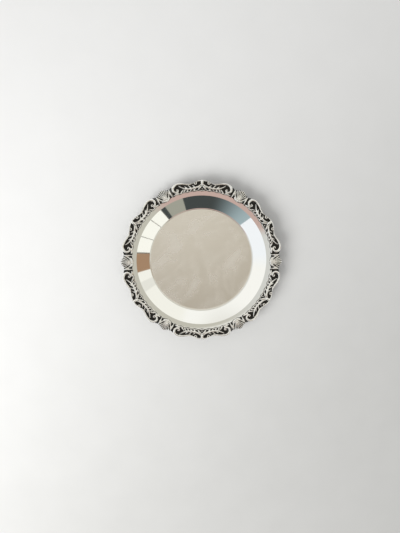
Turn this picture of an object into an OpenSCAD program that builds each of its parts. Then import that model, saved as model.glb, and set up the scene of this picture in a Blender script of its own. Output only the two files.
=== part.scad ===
// Round plated dish for coins, with a border of scrolls and shells soldered round its edge.
// Millimetres, +Z up. The origin is the centre of the base, on the surface that the dish stands on.
// A border length lies on the +Y axis, and angles are counted clockwise from there, seen from above.

/* [Dish] */
// Thickness of the pressed sheet
sheet = 1; // [0.6:0.1:1.5]
// Radius of the flat floor, up to the foot of the wall
floor_r = 49.6; // [35:0.2:70]
// Width of the sloping wall, seen from above
wall_w = 12; // [9:0.5:20]
// Height of the sloping wall
wall_rise = 9.2; // [6:0.2:20]
// Width of the gentler shoulder above the wall
shoulder_w = 4.2; // [3:0.1:8]
// Height of the shoulder
shoulder_rise = 2; // [0.8:0.1:4]
// Width of the flat flange that carries the border
flange_w = 4.8; // [4:0.1:6]
// Inside radius of the bend between floor and wall
floor_bend_r = 3; // [1:0.5:6]
// Inside radius of the bend at the crease between wall and shoulder
crease_bend_r = 0.8; // [0.4:0.1:2]
// Inside radius of the bend between shoulder and flange
flange_bend_r = 1; // [0.4:0.1:2]

/* [Border rail] */
// How far the middle line of the outer rail lies beyond the edge of the flange
rail_reach = 2.9; // [2.6:0.1:4]
// How far the rail swings in and out of its middle line
rail_swing = 1.5; // [0:0.1:1.6]
// Angle from a junction to the outermost point of the scroll, in degrees
rail_peak = 18; // [15:0.5:20]
// Angle of one full wave of the rail, in degrees
rail_wave = 18.4; // [16:0.2:20]
// Half width of the rail
rail_half_w = 0.9; // [0.5:0.1:1.1]
// Width of the rail's rounded outer edge beyond its crest
rail_lip = 0.7; // [0.4:0.1:0.9]
// Height of the rail above the flange
rail_h = 2.6; // [1.5:0.1:4]

/* [Border leaf] */
// How far the border's inner edge hangs over the shoulder
edge_overhang = 0.2; // [0:0.1:0.5]
// Depth of the scallops in the inner edge
scallop = 0.35; // [0:0.05:0.6]
// Angle from one scallop to the next, in degrees
scallop_wave = 5.9; // [4:0.1:8]
// Distance from the inner edge to the crest of the leaf, at the junction
leaf_inset = 3.1; // [2.5:0.1:4]
// How far the leaf's crest comes inwards by the end of the length
leaf_drift = 1.2; // [0:0.1:1.5]
// Half width of the leaf
leaf_half_w = 1.2; // [0.6:0.1:1.4]
// Height of the leaf above the flange
leaf_h = 1.9; // [1:0.1:3]
// Height of the small fingers between leaf and rail
finger_h = 1.8; // [1:0.1:3]
// Angle from one finger to the next, in degrees
finger_wave = 3.8; // [3:0.1:6]

/* [Border junction] */
// Height of the upright drop at the middle of a length
drop_h = 3; // [2:0.1:4]
// Half width of the drop
drop_half_w = 1.6; // [1:0.1:2.5]
// Half length of the drop, along the radius
drop_half_l = 3.2; // [2:0.1:4]
// Angle from the junction to the small volute beside the drop, in degrees
volute_angle = 5.7; // [5:0.1:7]
// Radius of the small volute's ball
volute_r = 1.4; // [0.8:0.1:1.8]
// Height of the small volute
volute_h = 2.9; // [1.5:0.1:4]
// Angle from the junction to the hooked end of the scroll, in degrees
hook_angle = 21.2; // [19:0.1:22]
// Half width of the hooked end
hook_half_w = 1.7; // [1:0.1:2]
// Half length of the hooked end, along the radius
hook_half_l = 3; // [2:0.1:4]
// Height of the hooked end
hook_h = 2.5; // [1.5:0.1:4]

/* [Shell] */
// Half of the angle that a shell takes of the border, in degrees
shell_half_angle = 6.3; // [5:0.1:7.5]
// How far the tip of the shell's lip stands out past the rail's middle line
shell_reach = 2.7; // [1:0.1:4]
// How far the shell's foot hangs over the shoulder, past the border's inner edge
foot_overhang = 1.4; // [0.5:0.1:2]
// Half width of the fan at its foot
fan_foot_half_w = 1.3; // [0.8:0.1:2]
// Half width of the fan at its lip
fan_lip_half_w = 5.2; // [4:0.1:6]
// Number of ribs in the fan
fan_ribs = 5; // [3:2:7]
// Height of the fan above the flange
fan_h = 3; // [2:0.1:4]
// Depth of the grooves between the ribs
fan_groove = 0.7; // [0.2:0.05:0.9]
// How far each rib's end stands out of the lip
fan_scallop = 0.6; // [0:0.05:1]
// Height of the leaf stroke on each side of the fan
stroke_h = 2.4; // [1.5:0.1:3.5]

/* [Fits] */
// Gap in the seam between a border length and a shell
seam = 0.15; // [0.05:0.05:0.3]
// Gap between the edge of the flange and the rebate that sits over it
rebate_gap = 0.1; // [0.05:0.05:0.3]

/* [Hidden] */
// Times the border repeats round the dish
repeats = 6;
repeat_angle = 360 / repeats;

// Places across the dish, from the middle out and from the base up
crease_r = floor_r + wall_w;
crease_h = sheet + wall_rise;
flange_in_r = crease_r + shoulder_w;
flange_h = crease_h + shoulder_rise;
flange_out_r = flange_in_r + flange_w;
rebate_r = flange_out_r + rebate_gap;
// Degrees between two points of a bend in the dish's profile, and facets round the dish
bend_step = 6;
round_facets = 180;

// Places across the border
border_in_r = flange_in_r - edge_overhang;
rail_r = flange_out_r + rail_reach;
leaf_r = border_in_r + leaf_inset;
side_lip_r = rail_r - 0.1;
shell_tip_r = rail_r + shell_reach;
shell_foot_r = border_in_r - foot_overhang;
// Height of the border's plain ground above the flange
ground_h = 0.7;
// Half angles of a border length and of a shell, each less its half of the seam
half_seam = seam / 2 / rail_r * 180 / PI;
scroll_half_angle = repeat_angle / 2 - shell_half_angle - half_seam;
shell_side_angle = shell_half_angle - half_seam;
// Angle from a junction where the fingers begin, and the angle over which they rise and fall
finger_start = 7;
finger_rise = 3;
// Angle over which the relief falls to the plain ground at the ends of a length
end_fall = 1.2;

// Steps along half of a border length, drawn closer together towards the junction
scroll_steps = 28;
scroll_crowding = 1.3;
// Steps of a shell from foot to lip, and columns across one of its ribs
shell_rows = 9;
rib_columns = 3;

// The same list from its last item to its first
function reverse(items) = [for (i = [len(items) - 1 : -1 : 0]) items[i]];

// Points of a round bend at a corner of the profile, between two directions in degrees
function bend(corner, from, to, r) =
    let (
        turn = to - from,
        side = sign(turn) * 90,
        start = corner - r * tan(abs(turn) / 2) * [cos(from), sin(from)],
        centre = start + r * [cos(from + side), sin(from + side)],
        steps = max(2, ceil(abs(turn) / bend_step))
    )
    [for (i = [0 : steps])
        let (a = from - side + turn * i / steps)
        centre + r * [cos(a), sin(a)]];

// The corner of the sheet's lower side that lies under a corner of its upper side
function below(corner, from, to) =
    corner + sheet / cos((to - from) / 2) * [sin((from + to) / 2), -cos((from + to) / 2)];

// Half of the dish's section, as [radius, height] points
function dish_profile() =
    let (
        wall = atan2(wall_rise, wall_w),
        shoulder = atan2(shoulder_rise, shoulder_w),
        foot = [floor_r, sheet],
        crease = [crease_r, crease_h],
        brow = [flange_in_r, flange_h]
    )
    concat(
        [[0, 0], [0, sheet]],
        bend(foot, 0, wall, floor_bend_r),
        bend(crease, wall, shoulder, crease_bend_r + sheet),
        bend(brow, shoulder, 0, flange_bend_r + sheet),
        [[flange_out_r, flange_h], [flange_out_r, flange_h - sheet]],
        reverse(bend(below(brow, shoulder, 0), shoulder, 0, flange_bend_r)),
        reverse(bend(below(crease, wall, shoulder), wall, shoulder, crease_bend_r)),
        reverse(bend(below(foot, 0, wall), 0, wall, floor_bend_r + sheet))
    );

// A mound's height at a distance from its middle: 1 there, and 0 at a distance of 1 and beyond
function swell(d) = max(0, 1 - d * d);

// Millimetres along the border for an angle, and the angle for a length
function arc(angle, r) = angle * PI / 180 * r;
function arc_angle(x, r) = x / r * 180 / PI;

// A point on the border at an angle clockwise from +Y
function on_border(a, r, z) = [r * sin(a), r * cos(a), z];

// Radii of the lines that run along a border length, at an angle a on either side of its junction
function rail(a) = rail_r + rail_swing * cos(360 * (abs(a) - rail_peak) / rail_wave);
function leaf(a) = leaf_r - leaf_drift * pow(a / scroll_half_angle, 2);
function inner_edge(a) = border_in_r - scallop * cos(360 * a / scallop_wave);

// Height of a border length above the flange, at an angle and a radius
function scroll_relief(a, r) =
    let (
        b = abs(a),
        wave = 0.5 - 0.5 * cos(360 * (b - finger_start) / finger_wave),
        fade = max(0, min(1, (b - finger_start) / finger_rise, (hook_angle - b) / finger_rise)),
        middle = (leaf(b) + rail(b)) / 2,
        half_gap = (rail(b) - leaf(b)) / 2,
        ends = min(1, (scroll_half_angle - b) / end_fall),
        drop_r = rail_r + rail_swing - drop_half_l,
        hook_r = rail(hook_angle) - hook_half_l
    )
    max(ground_h, ends * max(
        rail_h * swell((r - rail(b)) / rail_half_w),
        leaf_h * swell((r - leaf(b)) / leaf_half_w) * (1 - 0.3 * fade * wave),
        finger_h * swell((r - middle) / half_gap) * fade * wave,
        drop_h * swell(norm([arc(b, r) / drop_half_w, (r - drop_r) / drop_half_l])),
        volute_h * swell(norm([arc(b - volute_angle, r), r - rail(volute_angle)]) / volute_r),
        hook_h * swell(norm([arc(b - hook_angle, r) / hook_half_w, (r - hook_r) / hook_half_l]))
    ));

// Radii of the points across a border length, from its inner edge out to its lip
function scroll_radii(a) =
    let (
        top = rail(a),
        groove = top - rail_half_w,
        valley = leaf(a) + leaf_half_w
    )
    [
        inner_edge(a),
        leaf(a) - leaf_half_w,
        leaf(a),
        valley,
        valley + (groove - valley) / 3,
        valley + (groove - valley) * 2 / 3,
        groove,
        top - rail_half_w / 2,
        top,
        top + rail_lip / 2,
        top + rail_lip
    ];

// Points of a piece's underside, from lip to inner edge, with the rebate that fits the flange
function underside(lip_a, lip_r, foot_a, foot_r) = [
    on_border(lip_a, lip_r, flange_h - sheet),
    on_border(lip_a, rebate_r, flange_h - sheet),
    on_border(lip_a, rebate_r, flange_h),
    on_border(foot_a, foot_r, flange_h)
];

// One section of a border length
function scroll_section(a) =
    let (radii = scroll_radii(a))
    concat(
        [for (r = radii) on_border(a, r, flange_h + scroll_relief(a, r))],
        underside(a, rail(a) + rail_lip, a, inner_edge(a))
    );

// Half width of the fan, by v from 0 at its foot to 1 at its lip
function fan_half(v) = fan_foot_half_w + (fan_lip_half_w - fan_foot_half_w) * sin(90 * v);

// Sideways place of a shell's column at a radius, by its share of the fan and of the side field
function shell_x(across, field, v, r) =
    let (fan_x = across * fan_half(v), side_x = sign(across) * arc(shell_side_angle, r))
    fan_x + (side_x - fan_x) * field;

// One section of a shell from foot to lip, across and field as in shell_x
function shell_section(across, field) =
    let (
        rib = field > 0 ? 0 : abs(sin(90 * fan_ribs * (across + 1))),
        fan_lip = side_lip_r + (shell_tip_r - side_lip_r) * (1 - 0.6 * across * across),
        lip = field > 0 ? side_lip_r : fan_lip - fan_scallop * (1 - rib),
        foot = shell_foot_r + (border_in_r - shell_foot_r) * pow(field, 2)
    )
    concat(
        [for (k = [0 : shell_rows])
            let (
                v = k / shell_rows,
                r = foot + (lip - foot) * v,
                dome = 0.55 + 0.45 * sin(153 * v),
                fan_z = fan_h * dome * (1 - 0.25 * across * across) - fan_groove * (1 - rib) * min(1, 2 * v),
                stroke_z = stroke_h * swell((field - 0.5) * 2.2) * swell((v - 0.5) * 1.9)
            )
            on_border(
                arc_angle(shell_x(across, field, v, r), r), r,
                flange_h + (field > 0 ? max(ground_h, stroke_z) : fan_z)
            )],
        underside(
            arc_angle(shell_x(across, field, 1, lip), lip), lip,
            arc_angle(shell_x(across, field, 0, foot), foot), foot
        )
    );

// A closed solid from sections that all have the same number of points. Each end is a fan of
// triangles about the section's last point but one, the corner of the rebate, which sees all others.
module lofted(sections) {
    count = len(sections[0]);
    last = len(sections) - 1;
    sides = [
        for (i = [0 : last - 1]) for (k = [0 : count - 1])
            let (a = i * count + k, b = i * count + (k + 1) % count)
            for (t = [[a, a + count, b], [b, a + count, b + count]]) t
    ];
    hub = count - 2;
    fan = [
        for (k = [0 : count - 1])
            let (next = (k + 1) % count)
            if (k != hub && next != hub) [k, next, hub]
    ];
    last_fan = [for (t = fan) [t[1], t[0], t[2]] + last * count * [1, 1, 1]];
    polyhedron([for (s = sections) for (p = s) p], concat(fan, sides, last_fan));
}

// The flat pressed dish with its wall, shoulder and flange
module dish() {
    color("silver") rotate_extrude($fn = round_facets) polygon(dish_profile());
}

// One cast border length, centred on its junction
module scroll(i) {
    angles = [
        for (k = [-scroll_steps : scroll_steps])
            sign(k) * scroll_half_angle * pow(abs(k) / scroll_steps, scroll_crowding)
    ];
    color("gainsboro") rotate(-repeat_angle * (i - 1)) lofted([for (a = angles) scroll_section(a)]);
}

// One cast shell mount, between two border lengths: its fan, and a leaf stroke on each side
module shell(i) {
    half = rib_columns * fan_ribs / 2;
    fields = [1, 0.75, 0.5, 0.25];
    color("whitesmoke") rotate(-repeat_angle * (i - 0.5)) lofted(concat(
        [for (f = fields) shell_section(-1, f)],
        [for (k = [-half : half]) shell_section(k / half, 0)],
        [for (f = reverse(fields)) shell_section(1, f)]
    ));
}

dish();
for (i = [1 : repeats]) scroll(i);
for (i = [1 : repeats]) shell(i);
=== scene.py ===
# %% [markdown]
# # A coin tray with a scroll and shell border
# The real tray is a sheet of metal pressed into a shallow dish. Six cast lengths of scrollwork and
# six cast shells are soldered round its edge, and the whole is silver plated and polished. This
# lesson starts from the solid model, which fixes every size and place, and dresses it: a smooth
# lathed dish, a border with real relief, and plate that is bright on the high places and dark in
# the recesses, where oxide is deepened with painted shade.

# %% Load the solid model
import math

import bpy
import numpy as np
from mathutils import Matrix, Vector


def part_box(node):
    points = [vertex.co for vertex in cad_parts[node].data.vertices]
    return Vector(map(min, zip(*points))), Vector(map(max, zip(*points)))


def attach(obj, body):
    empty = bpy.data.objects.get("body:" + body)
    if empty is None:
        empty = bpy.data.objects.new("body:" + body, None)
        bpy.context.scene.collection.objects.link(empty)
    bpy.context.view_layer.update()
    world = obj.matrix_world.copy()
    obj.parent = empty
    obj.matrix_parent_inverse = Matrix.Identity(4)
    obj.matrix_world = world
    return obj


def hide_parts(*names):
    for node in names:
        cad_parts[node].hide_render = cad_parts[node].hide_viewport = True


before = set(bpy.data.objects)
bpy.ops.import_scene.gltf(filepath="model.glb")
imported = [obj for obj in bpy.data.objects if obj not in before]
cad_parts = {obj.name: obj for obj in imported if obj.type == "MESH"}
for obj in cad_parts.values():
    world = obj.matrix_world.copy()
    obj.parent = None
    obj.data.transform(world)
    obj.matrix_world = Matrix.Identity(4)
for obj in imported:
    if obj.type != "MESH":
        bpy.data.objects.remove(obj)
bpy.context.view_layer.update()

MM = 0.001
print("pieces in the solid model:", len(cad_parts))

# %% [markdown]
# ## Sizes
# The heights come from the solid dish itself, so the dressed pieces sit where the solid ones do.
# The few sizes that a box can't tell, such as the width of the wall, are the same round numbers
# that the solid model was drawn with.

# %% Sizes of the dish, in millimetres
dish_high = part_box("dish")[1]
flange_h = dish_high[2] / MM
flange_out_r = dish_high[0] / MM
sheet = 1
floor_r = 49.6
wall_w = 12
shoulder_w = 4.2
shoulder_rise = 2
crease_r = floor_r + wall_w
crease_h = flange_h - shoulder_rise
flange_in_r = crease_r + shoulder_w
print("flange at", round(flange_h, 2), "mm, out to", round(flange_out_r, 2), "mm")

# %% Sizes of the border, in millimetres and degrees
repeats = 6
repeat_angle = 360 / repeats
# How far the border reaches past the flange, inwards and out to the middle of its rail
edge_overhang, rail_reach = 0.2, 2.9
border_in_r = flange_in_r - edge_overhang
rail_r = flange_out_r + rail_reach
rail_swing = 1.5
rail_peak = 18
rail_wave = 18.4
rail_lip = 0.65
scallop = 0.35
scallop_wave = 5.9
# The border is a step lower outside this radius, just clear of the flange's edge
rebate_gap = 0.1
rebate_r = flange_out_r + rebate_gap
shell_half_angle = 6.3
half_seam = 0.075
half_seam_angle = math.degrees(half_seam / rail_r)
# Radius at which degrees along the border are turned into millimetres
gauge_r = 71
print("border from", round(border_in_r, 2), "mm to", round(rail_r + rail_swing + rail_lip, 2), "mm")

# %% [markdown]
# ## Helpers
# Operators act on whatever is selected, so a helper clears the selection first. Another one ends
# the work on a piece: it applies the place, points the faces outwards and smooths the shading, but
# leaves edges sharper than a given angle as they are.

# %% Small helpers for modelling
def clear_selection():
    """Leave nothing selected, so that the next operator touches only its own piece."""
    if bpy.context.object and bpy.context.object.mode != "OBJECT":
        bpy.ops.object.mode_set(mode="OBJECT")
    bpy.ops.object.select_all(action="DESELECT")


def finish_piece(piece, smooth_angle):
    """Apply the place, turn the faces outwards and shade the piece smooth."""
    bpy.ops.object.mode_set(mode="OBJECT")
    bpy.ops.object.transform_apply(location=True, rotation=True, scale=True)
    bpy.ops.object.mode_set(mode="EDIT")
    bpy.ops.mesh.select_all(action="SELECT")
    bpy.ops.mesh.normals_make_consistent(inside=False)
    bpy.ops.object.mode_set(mode="OBJECT")
    bpy.ops.object.shade_smooth_by_angle(angle=math.radians(smooth_angle))
    return piece


def on_border(angle, r):
    """A place on the border: an angle clockwise from +Y, and a radius."""
    return np.stack([r * np.sin(np.radians(angle)), r * np.cos(np.radians(angle))], axis=-1)


# %% [markdown]
# ## Shader sums
# Node trees are easier to read as sums. A small class wraps a socket, so that an expression such
# as `1 - mask` adds its own Math node, and one method makes any other node. The nodes could be
# placed and linked one by one, but a finish would then be pages long and hard to change.

# %% A socket that can be added and multiplied
class Value:
    """A socket of a node tree that takes part in sums."""

    def __init__(self, finish, socket):
        self.finish = finish
        self.socket = socket

    def __add__(self, other):
        return self.finish.math("ADD", self, other)

    def __sub__(self, other):
        return self.finish.math("SUBTRACT", self, other)

    def __rsub__(self, other):
        return self.finish.math("SUBTRACT", other, self)

    def __mul__(self, other):
        return self.finish.math("MULTIPLY", self, other)

    def __neg__(self):
        return self.finish.math("MULTIPLY", self, -1)

    __radd__ = __add__
    __rmul__ = __mul__

    def rise(self, low, high):
        """0 below low, 1 above high, and a smooth rise between."""
        settings = {"interpolation_type": "SMOOTHSTEP"}
        return self.finish.node("ShaderNodeMapRange", settings, {0: self, 1: low, 2: high})

    def band(self, low, high, soft):
        """1 between low and high, with soft edges."""
        return self.rise(low - soft, low) * (1 - self.rise(high, high + soft))


# %% A material or a world, and its nodes
class Finish:
    """A material or a world, with one method that makes its nodes."""

    def __init__(self, owner):
        owner.use_nodes = True
        self.owner = owner
        self.tree = owner.node_tree
        self.tree.nodes.clear()

    def node(self, kind, settings=None, inputs=None, output=0):
        """A node with its settings and inputs, and one of its outputs as a Value."""
        made = self.tree.nodes.new(kind)
        for name, value in (settings or {}).items():
            setattr(made, name, value)
        for name, value in (inputs or {}).items():
            if isinstance(value, Value):
                self.tree.links.new(value.socket, made.inputs[name])
            else:
                made.inputs[name].default_value = value
        return Value(self, made.outputs[output]) if made.outputs else None

    def math(self, operation, *inputs):
        """A Math node."""
        return self.node("ShaderNodeMath", {"operation": operation}, dict(enumerate(inputs)))

    def mix(self, mask, first, second):
        """A colour between two colours. Inputs 6 and 7 and output 2 are the node's colours."""
        inputs = {0: mask, 6: first, 7: second}
        return self.node("ShaderNodeMix", {"data_type": "RGBA"}, inputs, output=2)

    def split(self, vector):
        """The three numbers of a vector."""
        parts = self.node("ShaderNodeSeparateXYZ", {}, {0: vector}).socket.node
        return [Value(self, parts.outputs[i]) for i in range(3)]

    def place(self):
        """The place in the tray, which is the Object output."""
        return self.node("ShaderNodeTexCoord", output=3)

    def noise(self, vector, scale, detail, distortion=0):
        """Soft cloudy values about a half, with the scale in lumps a metre."""
        inputs = {"Vector": vector, "Scale": scale, "Detail": detail, "Distortion": distortion}
        return self.node("ShaderNodeTexNoise", {}, inputs)

    def metal(self, colour, roughness, bump):
        """A bare metal surface, joined to the output."""
        surface = self.node("ShaderNodeBsdfPrincipled", {}, {
            "Base Color": colour, "Metallic": 1.0, "Roughness": roughness, "Normal": bump})
        self.node("ShaderNodeOutputMaterial", {}, {"Surface": surface})


# %% Colours
def rgb(red, green, blue):
    """A colour written as a picture shows it, from 0 to 255, as Blender's linear colour."""
    def linear(c):
        c = c / 255
        return c / 12.92 if c <= 0.04045 else ((c + 0.055) / 1.055) ** 2.4
    return (linear(red), linear(green), linear(blue), 1)


print("a picture's mid grey, 128, is", round(rgb(128, 128, 128)[0], 3), "in linear light")

# %% [markdown]
# ## The dish
# The real dish is spun or pressed from one sheet, so its section is a line that runs from the
# middle out and bends three times: at the foot of the wall, at the crease, and at the flange. The
# lower side runs beside it, one sheet thickness away, with the same bends.

# %% The section of the dish
def bend(corner, turn_from, turn_to, r, steps=8):
    """Points of a round bend at a corner, between two directions in degrees."""
    start_a, end_a = math.radians(turn_from), math.radians(turn_to)
    turn = end_a - start_a
    side = math.copysign(math.pi / 2, turn)
    back = r * math.tan(abs(turn) / 2)
    start = np.array(corner) - back * np.array([math.cos(start_a), math.sin(start_a)])
    centre = start + r * np.array([math.cos(start_a + side), math.sin(start_a + side)])
    angles = [start_a - side + turn * i / steps for i in range(steps + 1)]
    return [tuple(centre + r * np.array([math.cos(a), math.sin(a)])) for a in angles]


def below(corner, turn_from, turn_to):
    """The corner of the sheet's lower side, under a corner of its upper side."""
    half = math.radians((turn_to - turn_from) / 2)
    middle = math.radians((turn_to + turn_from) / 2)
    reach = sheet / math.cos(half)
    return corner[0] + reach * math.sin(middle), corner[1] - reach * math.cos(middle)


wall_slope = math.degrees(math.atan2(crease_h - sheet, wall_w))
shoulder_slope = math.degrees(math.atan2(shoulder_rise, shoulder_w))
foot, crease, brow = (floor_r, sheet), (crease_r, crease_h), (flange_in_r, flange_h)
floor_bend_r, crease_bend_r, flange_bend_r = 3, 0.8, 1
upper_side = (
    bend(foot, 0, wall_slope, floor_bend_r)
    + bend(crease, wall_slope, shoulder_slope, crease_bend_r + sheet)
    + bend(brow, shoulder_slope, 0, flange_bend_r + sheet)
)
lower_side = (
    bend(below(foot, 0, wall_slope), 0, wall_slope, floor_bend_r + sheet)
    + bend(below(crease, wall_slope, shoulder_slope), wall_slope, shoulder_slope, crease_bend_r)
    + bend(below(brow, shoulder_slope, 0), shoulder_slope, 0, flange_bend_r)
)
edge = [(flange_out_r, flange_h), (flange_out_r, flange_h - sheet)]
section = upper_side + edge + lower_side[::-1]
print("wall slope", round(wall_slope, 1), "degrees, section points", len(section))

# %% [markdown]
# ## Turning the dish
# The dish is made like turned work. A disc is the floor, and its edge is extruded and scaled from
# one point of the section to the next, over the rim and back underneath, where a last face closes
# it. A spun outline would give the same form, but here every ring is a step of its own.

# %% Turn the dish
def turned_dish(name, points, segments=288):
    """A disc whose edge is drawn out through the points of a section."""
    clear_selection()
    r, z = points[0]
    bpy.ops.mesh.primitive_circle_add(
        vertices=segments, radius=r * MM, fill_type="TRIFAN", location=(0, 0, z * MM))
    piece = bpy.context.object
    piece.name = piece.data.name = name
    bpy.ops.object.mode_set(mode="EDIT")
    bpy.ops.mesh.select_mode(type="EDGE")
    bpy.ops.mesh.select_all(action="DESELECT")
    bpy.ops.mesh.select_non_manifold()
    for next_r, next_z in points[1:]:
        step = {"value": (0, 0, (next_z - z) * MM)}
        bpy.ops.mesh.extrude_region_move(TRANSFORM_OT_translate=step)
        share = next_r / r
        bpy.ops.transform.resize(value=(share, share, 1), center_override=(0, 0, 0))
        r, z = next_r, next_z
    bpy.ops.mesh.edge_face_add()
    return finish_piece(piece, smooth_angle=30)


dish = turned_dish("pressed_dish", section)
print("dish:", len(dish.data.polygons), "faces")

# %% [markdown]
# ## The relief of the border
# The cast scrollwork is full of rounded strokes that cross and overlap: a rail that swings out and
# hooks back, a leaf with fingers, small volutes. A modeller would lay them on as rolls of clay.
# Here each stroke is a line with a width and a height at each point, and a fine grid is raised to
# the highest stroke over it. The sharp creases between strokes come by themselves. Sculpting by
# hand would do too, but a stroke that is written down can be moved or widened by one number.

# %% Strokes and the height they give
# How full the strokes are against the widths written below, as plating thickens a casting
stroke_fullness = 1.22


def smooth_line(points, rounds=3):
    """Round the corners of a line by cutting them, again and again."""
    line = np.array(points, dtype=float)
    for _ in range(rounds):
        near, far = 0.75 * line[:-1] + 0.25 * line[1:], 0.25 * line[:-1] + 0.75 * line[1:]
        cut = np.empty((2 * len(near), line.shape[1]))
        cut[0::2], cut[1::2] = near, far
        line = np.vstack([line[:1], cut, line[-1:]])
    return line


def fill_line(line, spacing=0.12):
    """Points along a line, close enough together that a row of balls looks like one roll."""
    length = np.linalg.norm(np.diff(line[:, :2], axis=0), axis=1)
    along = np.concatenate([[0], np.cumsum(length)])
    places = np.linspace(0, along[-1], max(2, int(along[-1] / spacing) + 1))
    return np.stack([np.interp(places, along, column) for column in line.T], axis=-1)


def raised(grid, height, stroke):
    """Raise a grid's heights to a stroke of (across, out, half width, height), round in section."""
    for across, out, half_width, top in fill_line(smooth_line(stroke)):
        half_width *= stroke_fullness
        near = np.abs(grid[:, 0] - across) < half_width
        near &= np.abs(grid[:, 1] - out) < half_width
        away = ((grid[near, 0] - across) ** 2 + (grid[near, 1] - out) ** 2) / half_width ** 2
        mound = top * np.maximum(0, 1 - away) ** 0.5
        height[near] = np.maximum(height[near], mound)
    return height


# %% Lines that a border length follows
def strokes_by_angle(strokes):
    """Strokes whose first number is in degrees, turned into millimetres along the border."""
    scale = math.radians(1) * gauge_r
    return [[(a * scale, r, w, h) for a, r, w, h in stroke] for stroke in strokes]


def rail(angle):
    """Radius of the outer rail at an angle from the junction."""
    return rail_r + rail_swing * np.cos(np.radians(360 * (np.abs(angle) - rail_peak) / rail_wave))


def inner_edge(angle):
    """Radius of the border's softly scalloped inner edge."""
    return border_in_r - scallop * np.cos(np.radians(360 * angle / scallop_wave))


print("the rail swings out to", round(float(rail(rail_peak)), 2), "mm")

# %% [markdown]
# ## The strokes of a border length
# One length is the same on both sides of its junction, so only one side is written: an upright drop
# at the middle, a small volute beside it, the rail that dips, rises to a crest and hooks inwards,
# and a leaf whose stem runs along the inside and throws off fingers.

# %% Junction and rail: angle from the junction, radius, half width, height
drop = [(0, 74.6, 0.95, 2.5), (0, 73, 1.5, 2.9), (0, 71.4, 0.9, 2.6), (0, 70.4, 0.4, 1.8)]
drop_dot = [(0, 67.7, 0.6, 1.8), (0, 67.5, 0.6, 1.8)]
lobe = [(0.4, 70.3, 0.5, 2), (1.3, 69.1, 0.75, 2.2), (2.6, 67.7, 0.8, 2), (3.3, 66.6, 0.4, 1.2)]
volute_angle, volute_r, volute_ring = 4.9, 72.9, 1
volute = [
    (volute_angle + volute_ring * math.sin(t) / math.radians(1) / gauge_r,
     volute_r + volute_ring * math.cos(t), 0.6, 2.5)
    for t in np.linspace(0, 2 * math.pi, 13)
]
rail_stroke = [
    (0.9, 74.9, 0.5, 2.3), (3, 74.5, 0.65, 2.5), (5.4, 74.2, 0.75, 2.5), (7.4, 73, 0.75, 2.5),
    (9, 72.3, 0.75, 2.5), (11, 72.7, 0.8, 2.5), (13.5, 73.8, 0.85, 2.6), (16, 74.8, 0.9, 2.6),
    (18, 75, 0.95, 2.7), (19.9, 74.6, 1.05, 2.8),
    (21.5, 73.1, 1.2, 2.85), (22.1, 71.3, 1.25, 2.85), (21.8, 69.5, 1.1, 2.7), (20.6, 68.4, 0.9, 2.4),
    (19, 68.4, 0.75, 2.2), (18.1, 69.3, 0.65, 2), (18.5, 70.4, 0.6, 1.9), (19.5, 70.3, 0.5, 1.8),
]
outer_line = [(a, float(rail(a)) + 0.4, 0.3, 1.6) for a in np.linspace(0, 22, 23)]
print("points in the rail:", len(rail_stroke))

# %% Leaf, fingers and lobes, written in the same way
stem = [
    (1, 71.6, 0.5, 2.2), (2.4, 70, 0.8, 2.3), (4.5, 69, 0.95, 2.2), (7, 68.4, 0.95, 2.1),
    (9.5, 68.3, 0.9, 2.1), (12, 68.8, 0.85, 2.1), (14.2, 70, 0.75, 2), (15.8, 71.5, 0.6, 1.9),
    (17, 73, 0.4, 1.6),
]
inner_fingers = [
    [(a, 68.6, 0.5, 1.9), (a + 1.3, 67.4, 0.65, 1.8), (a + 2, 66.3, 0.4, 1.2)]
    for a in (4.6, 7.4, 10.2, 12.8)
]
outer_fingers = [
    [(a, 68.7, 0.5, 1.9), (a + 0.9, 70.2, 0.62, 1.8), (a + 2, 71.3, 0.3, 1.3)]
    for a in (5.2, 8.2, 11)
]
hook_leaf = [(14.6, 68.6, 0.4, 1.8), (16, 67.6, 0.75, 1.9), (17.3, 66.4, 0.4, 1.2)]
hook_foot = [(18.8, 67.2, 0.5, 1.7), (20.8, 66.6, 0.75, 1.9), (22.8, 66.4, 0.45, 1.3)]
inner_lobes = [
    [(a - 2, 66.3, 0.35, 1.1), (a, 65.95, 0.5, 1.3), (a + 2, 66.3, 0.35, 1.1)]
    for a in np.arange(0, 22, scallop_wave)
]
length_strokes = strokes_by_angle(
    [drop, drop_dot, lobe, volute, rail_stroke, outer_line, stem, hook_leaf, hook_foot]
    + inner_fingers + outer_fingers + inner_lobes
)
print("strokes in half a border length:", len(length_strokes))

# %% [markdown]
# ## The strokes of a shell
# A shell is a fan of ribs that spring from a small scrolled foot, each ending in a bead at the lip.
# A leaf stroke stands at each side, and the gaps between them stay dark.

# %% Strokes of a shell: millimetres from its middle, radius, half width, height
rib_tips = [(0, 75.3), (1.65, 74.9), (3.2, 73.9), (4.6, 72.5)]
rib_foot_r = 66.3
bead_r = 0.56
ribs = [
    [(0.3 * k, rib_foot_r, 0.3, 2),
     (0.25 * k + 0.45 * tip_x, (rib_foot_r + tip_r) / 2, 0.46, 2.85),
     (tip_x, tip_r, 0.58, 2.5)]
    for k, (tip_x, tip_r) in enumerate(rib_tips)
]
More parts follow.
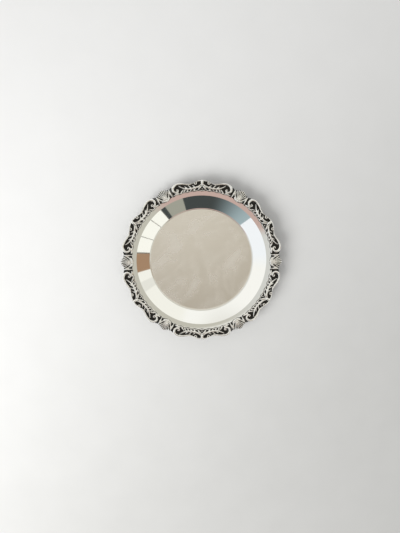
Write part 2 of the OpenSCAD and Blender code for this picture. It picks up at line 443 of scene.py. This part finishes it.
# A bead is a very short stroke
beads = [
    [(tip_x, tip_r, bead_r, 2.5), (tip_x + 0.02, tip_r, bead_r, 2.5)] for tip_x, tip_r in rib_tips
]
side_leaf = [(7, 66, 0.5, 1.8), (6.7, 69, 0.85, 2.4), (6.2, 71.4, 0.9, 2.5), (6.6, 72.7, 0.5, 1.8)]
side_loop = [(1.8, 66.4, 0.5, 1.9), (3.5, 67.2, 0.7, 2.2), (5, 69, 0.65, 2.1), (5.3, 71, 0.4, 1.6)]
foot_scroll = [(0, 65.2, 0.7, 2), (1.8, 65.4, 0.8, 2.1), (3.6, 66.1, 0.7, 1.9), (4.5, 66.9, 0.4, 1.4)]
foot_bead = [(0, 65.1, 0.85, 2.4), (0, 65.3, 0.85, 2.4)]
shell_strokes = ribs + beads + [side_leaf, side_loop, foot_scroll, foot_bead]
print("strokes in half a shell:", len(shell_strokes))

# %% [markdown]
# ## From strokes to a casting
# The grid primitive is flat and square. Its points are moved to their places on the border, raised
# by the strokes, and softened a little, as plating and polishing soften a casting. Then the sheet
# is extruded down to its seat: flat over the flange, and a step lower outside the flange's edge.
# Joined rolls of metal would need hundreds of unions, where one grid takes every stroke at once.
# A layer of numbers on the points says how deep each one lies, and the finish darkens with it, as
# oxide and as painted shade of the hollows.

# %% The height of the relief, and how deep its hollows lie
# Height of the plain ground between the strokes
ground_h = 0.6
# Height below which the metal starts to darken with oxide and painted shade, and how much lower it is
# black
dark_below, dark_fade = 1.05, 0.45
# How far below its surroundings a hollow is black, with oxide and painted shade
dark_depth = 0.9
# Rounds of averaging that soften the casting, and that spread it out into its surroundings
soft_rounds, around_rounds = 2, 18
# How much of its own height a point keeps in one round
own_share = 0.5


def softened(height, rounds):
    """Average each height with its neighbours."""
    for _ in range(rounds):
        padded = np.pad(height, 1, mode="edge")
        ring = padded[:-2, 1:-1] + padded[2:, 1:-1] + padded[1:-1, :-2] + padded[1:-1, 2:]
        height = own_share * height + (1 - own_share) / 4 * ring
    return height


def relief(grid, strokes, shape):
    """Heights over the flange, and the depth of the hollows from 0 to 1, for a grid's points."""
    height = np.full(len(grid), ground_h)
    for stroke in strokes:
        height = raised(grid, height, stroke)
    height = softened(height.reshape(shape), soft_rounds)
    around = softened(height, around_rounds)
    # Oxide and painted shade: low ground and hollows below their surroundings are marked for
    # darkening
    recess = np.maximum((dark_below - height) / dark_fade, (around - height) / dark_depth)
    return height.ravel(), np.clip(recess, 0, 1).ravel()


# %% Make one casting
# How far the grid is lifted when it is extruded, before its points get their true heights
lift = 10


def seated(piece):
    """Close a raised sheet underneath: flat on the flange, and a step lower outside its edge."""
    bpy.ops.object.mode_set(mode="EDIT")
    bpy.ops.mesh.select_all(action="SELECT")
    bpy.ops.mesh.extrude_region_move(TRANSFORM_OT_translate={"value": (0, 0, lift * MM)})
    bpy.ops.object.mode_set(mode="OBJECT")
    for vertex in piece.data.vertices:
        if vertex.select:
            vertex.co.z -= lift * MM
        else:
            outside = math.hypot(vertex.co.x, vertex.co.y) > rebate_r * MM
            vertex.co.z = (flange_h - sheet * outside) * MM
    return piece


def casting(name, columns, rows, place, strokes):
    """A relief on a grid, closed underneath. place(x, y) gives angle, radius and across."""
    clear_selection()
    bpy.ops.mesh.primitive_grid_add(x_subdivisions=columns, y_subdivisions=rows, size=2)
    piece = bpy.context.object
    piece.name = piece.data.name = name
    flat = np.empty(3 * len(piece.data.vertices), dtype=np.float32)
    piece.data.vertices.foreach_get("co", flat)
    flat = flat.reshape(-1, 3).astype(float)
    angle, r, across = place(flat[:, 0], flat[:, 1])
    grid = np.stack([np.abs(across), r], axis=-1)
    height, recess = relief(grid, strokes, (rows + 1, columns + 1))
    points = np.empty_like(flat)
    points[:, :2] = on_border(angle, r)
    points[:, 2] = flange_h + height
    piece.data.vertices.foreach_set("co", (points * MM).astype(np.float32).ravel())
    layer = piece.data.attributes.new("recess", "FLOAT", "POINT")
    layer.data.foreach_set("value", recess.astype(np.float32))
    return finish_piece(seated(piece), smooth_angle=50)


# %% [markdown]
# ## A length and a shell
# The grid's points run from -1 to 1 both ways. On a border length they spread from the scalloped
# inner edge to the rail's lip. On a shell they spread from its foot, which hangs over the shoulder
# of the dish, to a lip that bulges round each bead.

# %% One border length
def length_place(x, y):
    """Places of a border length for grid coordinates from -1 to 1."""
    angle = x * (repeat_angle / 2 - shell_half_angle - half_seam_angle)
    inside, outside = inner_edge(angle), rail(angle) + rail_lip
    r = inside + (outside - inside) * (y + 1) / 2
    return angle, r, np.radians(angle) * gauge_r


first_length = casting("border_length_1", 360, 66, length_place, length_strokes)
print("border length:", len(first_length.data.polygons), "faces")

# %% One shell
# How far a shell's sides stop short of the rail, and how far its foot reaches inwards
side_inset, foot_reach = 0.15, 1.4
shell_side_r = rail_r - side_inset
shell_foot_r = border_in_r - foot_reach
foot_half_w = 5
# Metal left round a bead
bead_margin = 0.1


def shell_lip(across):
    """Radius of the shell's scalloped lip, by millimetres from its middle."""
    lip = np.full_like(across, shell_side_r)
    bulge_r = bead_r * stroke_fullness + bead_margin
    for tip_x, tip_r in rib_tips:
        reach = np.maximum(0, bulge_r ** 2 - (np.abs(across) - tip_x) ** 2)
        lip = np.maximum(lip, np.where(reach > 0, tip_r + np.sqrt(reach), 0))
    return lip


def shell_place(x, y):
    """Places of a shell for grid coordinates from -1 to 1."""
    angle = x * (shell_half_angle - half_seam_angle)
    across = np.radians(angle) * gauge_r
    share = np.minimum(1, np.abs(across) / foot_half_w) ** 2
    inside = shell_foot_r + (border_in_r - shell_foot_r) * share
    r = inside + (shell_lip(across) - inside) * (y + 1) / 2
    return angle, r, across


first_shell = casting("border_shell_1", 120, 84, shell_place, shell_strokes)
print("shell:", len(first_shell.data.polygons), "faces")

# %% [markdown]
# ## Round the dish
# All six lengths come from one pattern, and so do the shells. Each copy has a mesh of its own, and
# its turn is applied to that mesh, so that every piece's object stays at the middle of the dish. An
# array would make the ring as one object, and each casting is a piece of its own.

# %% Copy the castings round the dish
def copied_round(first, start_angle):
    """Six copies of a casting, each turned in its own mesh."""
    copies = [first]
    for i in range(1, repeats):
        piece = first.copy()
        piece.data = first.data.copy()
        piece.name = piece.data.name = first.name[:-1] + str(i + 1)
        bpy.context.collection.objects.link(piece)
        copies.append(piece)
    for i, piece in enumerate(copies):
        piece.data.transform(Matrix.Rotation(math.radians(-start_angle - repeat_angle * i), 4, "Z"))
    return copies


lengths = copied_round(first_length, 0)
shells = copied_round(first_shell, repeat_angle / 2)
print("castings round the dish:", len(lengths) + len(shells))

# %% [markdown]
# ## Silver plate
# Polished plate is a mirror with a faint warm tint. The high places are rubbed bright, and the
# recesses of the casting hold dark oxide that no cloth reaches, deepened with painted shade. On the
# dish the wall is brighter than the floor, where years of coins and wiping have left a soft haze with
# cloudy smears. Painted textures could show this, but noise by place needs no unwrapping and stays
# sharp at any size.

# %% Plate on the castings
# The black is the oxide of the hollows, deepened as painted shade
bright_silver, oxide_and_shade_black = (0.95, 0.945, 0.93, 1), (0.04, 0.039, 0.037, 1)


def casting_plate():
    """Bright silver on the strokes, and dull dark oxide deepened with painted shade in the hollows
    between them.
    """
    finish = Finish(bpy.data.materials.new("silver_casting"))
    place = finish.place()
    # Output 2 is the layer as one number
    recess = finish.node("ShaderNodeAttribute", {"attribute_name": "recess"}, output=2)
    cloud = finish.noise(place, 160, 4)
    grain = finish.noise(place, 2600, 2)
    # Oxide and painted shade in the hollows, by their depth
    oxide_and_shade = (recess + (cloud - 0.5) * 0.25).rise(0.25, 0.7)
    bump = finish.node("ShaderNodeBump", {}, {"Strength": 0.12, "Distance": 0.00012, "Height": grain})
    roughness = 0.1 + oxide_and_shade * 0.32 + cloud * 0.05
    finish.metal(finish.mix(oxide_and_shade, bright_silver, oxide_and_shade_black), roughness, bump)
    return finish.owner


casting_finish = casting_plate()
for piece in lengths + shells:
    piece.data.materials.append(casting_finish)
print("plated castings:", len(lengths) + len(shells))

# %% Plate on the dish
wall_silver = (0.935, 0.93, 0.915, 1)
dull_floor, pale_floor = (0.84, 0.82, 0.79, 1), (0.97, 0.96, 0.945, 1)


def dish_plate():
    """A mirror on the wall, and a wiped, cloudy haze on the floor."""
    finish = Finish(bpy.data.materials.new("silver_dish"))
    place = finish.place()
    x, y, _ = finish.split(place)
    r = finish.math("SQRT", x * x + y * y)
    on_floor = 1 - r.rise((floor_r - 1.6) * MM, (floor_r + 0.2) * MM)
    cloud = finish.noise(place, 17, 2, 2.4)
    smear = finish.noise(place, 48, 3, 1.5)
    # Noise stretched into long streaks, all one way, as a cloth leaves them
    stretched = finish.node(
        "ShaderNodeMapping", {}, {"Vector": place, "Rotation": (0, 0, 0.6), "Scale": (40, 900, 40)})
    wipe = finish.noise(stretched, 1, 3)
    haze = (cloud * 0.7 + smear * 0.3).rise(0.38, 0.66)
    floor_colour = finish.mix(haze, dull_floor, pale_floor)
    roughness = 0.045 + on_floor * (0.14 + haze * 0.1 + wipe * 0.05)
    bump = finish.node("ShaderNodeBump", {}, {
        "Strength": 0.01, "Distance": 0.00003, "Height": smear * on_floor})
    finish.metal(finish.mix(on_floor, wall_silver, floor_colour), roughness, bump)
    return finish.owner


dish.data.materials.append(dish_plate())
print("materials so far:", len(bpy.data.materials))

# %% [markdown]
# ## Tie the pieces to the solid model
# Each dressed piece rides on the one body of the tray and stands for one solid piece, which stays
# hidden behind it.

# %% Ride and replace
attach(dish, "root")
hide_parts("dish")
for i, (length, shell) in enumerate(zip(lengths, shells), start=1):
    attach(length, "root")
    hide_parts(f"scroll_{i}")
    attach(shell, "root")
    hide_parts(f"shell_{i}")
print("solid pieces replaced:", 1 + len(lengths) + len(shells))

# %% [markdown]
# ## What the silver sees
# A mirror shows its surroundings, so they matter as much as the metal. A large dome, which only
# reflections see, carries them as soft shapes: bright paper nearly all round, a dark side, a tall
# window beside it, and a warm grey ceiling. A wall of the dish shows the part of the dome opposite
# it, so the places here are given by the angle of the wall that shows them, clockwise from +Y. A
# picture of a room would do this too, but shapes by angle can be moved one at a time.

# %% Colours of the dome
warm_white, cool_white, cream = rgb(245, 245, 240), rgb(240, 244, 247), rgb(236, 235, 222)
soft_grey, green_grey, wood_brown = rgb(196, 196, 188), rgb(168, 168, 155), rgb(162, 132, 105)
slate_dark, slate_blue = rgb(66, 71, 70), rgb(158, 176, 180)
divider, glass = rgb(112, 108, 98), rgb(247, 247, 238)
left_grey, right_grey, rose = rgb(190, 188, 176), rgb(206, 207, 202), rgb(192, 167, 158)
ceiling_low, ceiling_high = rgb(176, 167, 152), rgb(224, 219, 206)
dome_r, dome_strength = 3, 1.08
print("the dome shines at", dome_strength, "times its colours")


# %% The dome
def dome_surface():
    """Light by the wall angle and the height of its direction, each shape laid over the last."""
    finish = Finish(bpy.data.materials.new("dome_light"))
    x, y, z = finish.split(finish.place())
    across = finish.math("SQRT", x * x + y * y)
    wall = finish.math("ARCTAN2", -x, -y) * math.degrees(1)
    tilt = finish.math("ARCTAN2", z, across) * math.degrees(1)
    # Bright paper nearly all round
    colour = finish.mix(wall.band(20, 72, 20), warm_white, cool_white)
    colour = finish.mix(wall.band(-150, -92, 12) * 0.5, colour, cream)
    colour = finish.mix(wall.band(-108, -100, 1.5) * 0.35, colour, soft_grey)
    # The dark side, with a paler patch in it
    slate = finish.mix(wall.rise(4, 39), slate_dark, slate_blue)
    colour = finish.mix(wall.band(-35, 39, 0.6), colour, slate)
    colour = finish.mix(wall.band(-31, -17.5, 0.6) * 0.85, colour, green_grey)
    # The window, and the wood beside it
    panes = wall.band(-73, -60.5, 0.3) + wall.band(-59.7, -46, 0.3) + wall.band(-45.2, -35.5, 0.3)
    window = finish.mix(panes, divider, glass)
    colour = finish.mix(wall.band(-74, -35.2, 0.4), colour, window)
    colour = finish.mix(wall.band(-90, -74.4, 0.5), colour, wood_brown)
    # What the shoulder sees, higher up
    side = finish.mix(wall.band(30, 110, 60), left_grey, right_grey)
    upper = finish.mix(wall.band(-28, 44, 12), side, rose)
    colour = finish.mix(tilt.band(36, 58, 3), colour, upper)
    # The ceiling, which the floor sees
    ceiling = finish.mix(tilt.rise(72, 88), ceiling_low, ceiling_high)
    colour = finish.mix(tilt.rise(66, 72), colour, ceiling)
    glow = finish.node("ShaderNodeEmission", {}, {"Color": colour, "Strength": dome_strength})
    finish.node("ShaderNodeOutputMaterial", {}, {"Surface": glow})
    return finish.owner


clear_selection()
bpy.ops.mesh.primitive_uv_sphere_add(segments=64, ring_count=32, radius=dome_r)
dome = bpy.context.object
dome.name = "reflection_dome"
dome.data.materials.append(dome_surface())
dome.visible_camera = False
dome.visible_diffuse = False
dome.visible_shadow = False
print("the dome is", round(dome.dimensions.x), "m across")

# %% [markdown]
# ## The table and the light
# The tray stands on a plain pale table, with painted shade that makes it a little darker towards the
# near right and painted light that makes it paler to the far left. The world gives an even light, and
# one broad lamp at the near left throws the soft shadow to the far right. A small lamp or a sun would
# throw a hard one, which the photograph doesn't show.

# %% The table
# The near colours are painted shade and the far ones painted light; the two tones in each are the
# table's own mottle
painted_shade_near_dark, painted_shade_near_light = (0.56, 0.56, 0.545, 1), (0.6, 0.6, 0.585, 1)
painted_light_far_dark, painted_light_far_light = (0.78, 0.78, 0.77, 1), (0.82, 0.82, 0.81, 1)
clear_selection()
bpy.ops.mesh.primitive_plane_add(size=4, location=(0, 0, 0))
table = bpy.context.object
table.name = "table"
bpy.ops.object.transform_apply(location=True)
paper = Finish(bpy.data.materials.new("pale_table"))
place = paper.place()
mottle = paper.noise(place, 30, 4)
across, along, _ = paper.split(place)
# Painted light and shade: the table is paler to the far left and darker to the near right
painted_light_far_left = (along - across * 0.6).rise(-0.3, 0.3)
painted_shade_near_paper = paper.mix(mottle, painted_shade_near_dark, painted_shade_near_light)
painted_light_far_paper = paper.mix(mottle, painted_light_far_dark, painted_light_far_light)
paper_colour = paper.mix(painted_light_far_left, painted_shade_near_paper, painted_light_far_paper)
paper_surface = paper.node("ShaderNodeBsdfPrincipled", {}, {
    "Base Color": paper_colour, "Roughness": 0.75})
paper.node("ShaderNodeOutputMaterial", {}, {"Surface": paper_surface})
table.data.materials.append(paper.owner)
print("the table is", round(table.dimensions.x), "m wide")

# %% World and lamp
world = Finish(bpy.data.worlds.new("even_light"))
bpy.context.scene.world = world.owner
even = world.node("ShaderNodeBackground", {}, {"Color": (1, 1, 1, 1), "Strength": 0.6})
world.node("ShaderNodeOutputWorld", {}, {"Surface": even})

lamp = bpy.data.objects.new("broad_lamp", bpy.data.lights.new("broad_lamp", "AREA"))
lamp.data.size = 0.5
lamp.data.energy = 5.5
lamp.location = (-0.5, -0.3, 0.6)
lamp.rotation_euler = Vector(lamp.location).to_track_quat("Z", "Y").to_euler()
lamp.visible_glossy = False
bpy.context.collection.objects.link(lamp)
print("the lamp stands", round(lamp.location.length, 2), "m from the tray")

# %% [markdown]
# ## The camera
# The photograph looks almost straight down. The spot right under the camera, the tray's middle and
# the scale were measured in its 400 by 533 frame, and the camera follows from those: how far it
# leans, how high it stands, and where it looks. It could be nudged by eye until the views agree,
# but measured places give it at once. The focal length is in pixels of that frame.

# %% Camera from measured places in the frame
frame_w, frame_h = 400, 533
focal = 401
under_camera = (182, 204)
tray_middle = (202, 261.8)
mm_per_pixel = 0.943
down = Vector(((under_camera[0] - frame_w / 2) / focal, (frame_h / 2 - under_camera[1]) / focal, 1))
down.normalize()
right = Vector((math.sqrt(1 - down.x ** 2), 0, -down.x))
up_x = down.y * right.z / right.x
up = Vector((up_x, math.sqrt(1 - down.y ** 2 - up_x ** 2), -down.y))
back = right.cross(up)
depth = mm_per_pixel * focal * MM
seen = (right * (tray_middle[0] - frame_w / 2) + up * (frame_h / 2 - tray_middle[1])) / focal - back
eye = Vector((0, 0, flange_h * MM)) - seen * depth
camera = bpy.data.objects.new("camera", bpy.data.cameras.new("camera"))
camera.data.sensor_width = 36
camera.data.lens = focal / frame_h * camera.data.sensor_width
camera.matrix_world = Matrix.Translation(eye) @ Matrix((right, up, back)).transposed().to_4x4()
bpy.context.collection.objects.link(camera)
bpy.context.scene.camera = camera
print("camera stands", round(eye.z / MM), "mm above the table")

# %% [markdown]
# ## The view
# The plain view transform shows colours as they are written.

# %% Finish
bpy.context.scene.view_settings.view_transform = "Standard"
